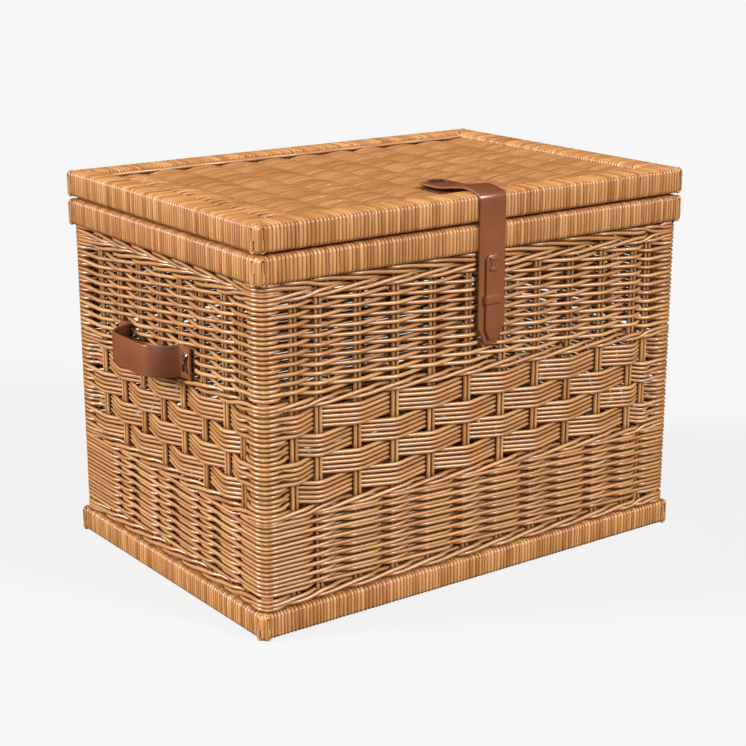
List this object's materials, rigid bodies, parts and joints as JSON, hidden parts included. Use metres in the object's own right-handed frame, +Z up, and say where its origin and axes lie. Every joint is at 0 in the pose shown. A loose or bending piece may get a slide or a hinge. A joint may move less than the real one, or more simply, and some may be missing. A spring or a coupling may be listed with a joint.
{
  "type": "wicker storage trunk",
  "caption": "Rectangular wicker trunk with woven walls on wrapped frames, a hinged woven lid, a leather closing strap with tongue and keeper, and bowed leather side handles.",
  "frame": {"origin": "on the floor, under the middle of the trunk's box", "axes": "+Z up, -Y towards the front with the closing strap, +X along the long side"},
  "size_m": [0.6736, 0.4338, 0.4576],
  "materials": {
    "batten_wood": "plain sawn softwood battens, matt",
    "willow_skein": "split willow strips, honey brown, satin varnish",
    "willow_rod": "buff willow rods, honey tan, satin varnish",
    "willow_post": "round willow posts, satin varnish",
    "saddle_leather": "smooth reddish brown leather, soft sheen",
    "lace_leather": "dark brown thong, dull",
    "hinge_brass": "aged brass, lightly brushed",
    "screw_brass": "aged brass"
  },
  "bodies": {
    "trunk": {"back_left_corner_weave": "willow_rod", "back_left_post": "willow_post", "back_right_corner_weave": "willow_rod", "back_right_post": "willow_post", "back_wall": "willow_rod", "base_binding_back": "willow_skein", "base_binding_front": "willow_skein", "base_binding_left": "willow_skein", "base_binding_right": "willow_skein", "base_frame": "batten_wood", "floor_panel": "willow_rod", "front_left_corner_weave": "willow_rod", "front_left_post": "willow_post", "front_right_corner_weave": "willow_rod", "front_right_post": "willow_post", "front_wall": "willow_rod", "handle_left_end_back": "saddle_leather", "handle_left_end_front": "saddle_leather", "handle_left_lace_back": "lace_leather", "handle_left_lace_front": "lace_leather", "handle_right_end_back": "saddle_leather", "handle_right_end_front": "saddle_leather", "handle_right_lace_back": "lace_leather", "handle_right_lace_front": "lace_leather", "left_hinge_pin": "hinge_brass", "left_hinge_rim_leaf": "hinge_brass", "left_hinge_rim_screw_1": "screw_brass", "left_hinge_rim_screw_2": "screw_brass", "left_wall": "willow_rod", "right_hinge_pin": "hinge_brass", "right_hinge_rim_leaf": "hinge_brass", "right_hinge_rim_screw_1": "screw_brass", "right_hinge_rim_screw_2": "screw_brass", "right_wall": "willow_rod", "rim_binding_back": "willow_skein", "rim_binding_front": "willow_skein", "rim_binding_left": "willow_skein", "rim_binding_right": "willow_skein", "rim_frame": "batten_wood"},
    "lid": {"left_hinge_lid_leaf": "hinge_brass", "left_hinge_lid_screw_1": "screw_brass", "left_hinge_lid_screw_2": "screw_brass", "lid_binding_back": "willow_skein", "lid_binding_front": "willow_skein", "lid_binding_left": "willow_skein", "lid_binding_right": "willow_skein", "lid_frame": "batten_wood", "lid_panel": "willow_rod", "right_hinge_lid_leaf": "hinge_brass", "right_hinge_lid_screw_1": "screw_brass", "right_hinge_lid_screw_2": "screw_brass", "strap_anchor": "saddle_leather", "strap_lace": "lace_leather"},
    "strap": {"strap_flap": "saddle_leather", "strap_keeper": "saddle_leather", "strap_thong": "saddle_leather", "strap_tongue": "saddle_leather"},
    "handle_left": {"handle_left_grip": "saddle_leather"},
    "handle_right": {"handle_right_grip": "saddle_leather"}
  },
  "joints": [
    {"name": "lid_hinge", "type": "hinge", "parent": "trunk", "child": "lid", "pos_m": [0, 0.2129, 0.41925], "axis": [-1, 0, 0], "range_deg": [0, 105]},
    {"name": "strap_swing", "type": "hinge", "parent": "lid", "child": "strap", "pos_m": [0.0043, -0.2098, 0.445], "axis": [-1, 0, 0], "range_deg": [0, 80]},
    {"name": "handle_left_tilt", "type": "hinge", "parent": "trunk", "child": "handle_left", "pos_m": [-0.3113, 0.0085, 0.2765], "axis": [0, 1, 0], "range_deg": [0, 25]},
    {"name": "handle_right_tilt", "type": "hinge", "parent": "trunk", "child": "handle_right", "pos_m": [0.3113, 0.0085, 0.2765], "axis": [0, -1, 0], "range_deg": [0, 25]}
  ]
}
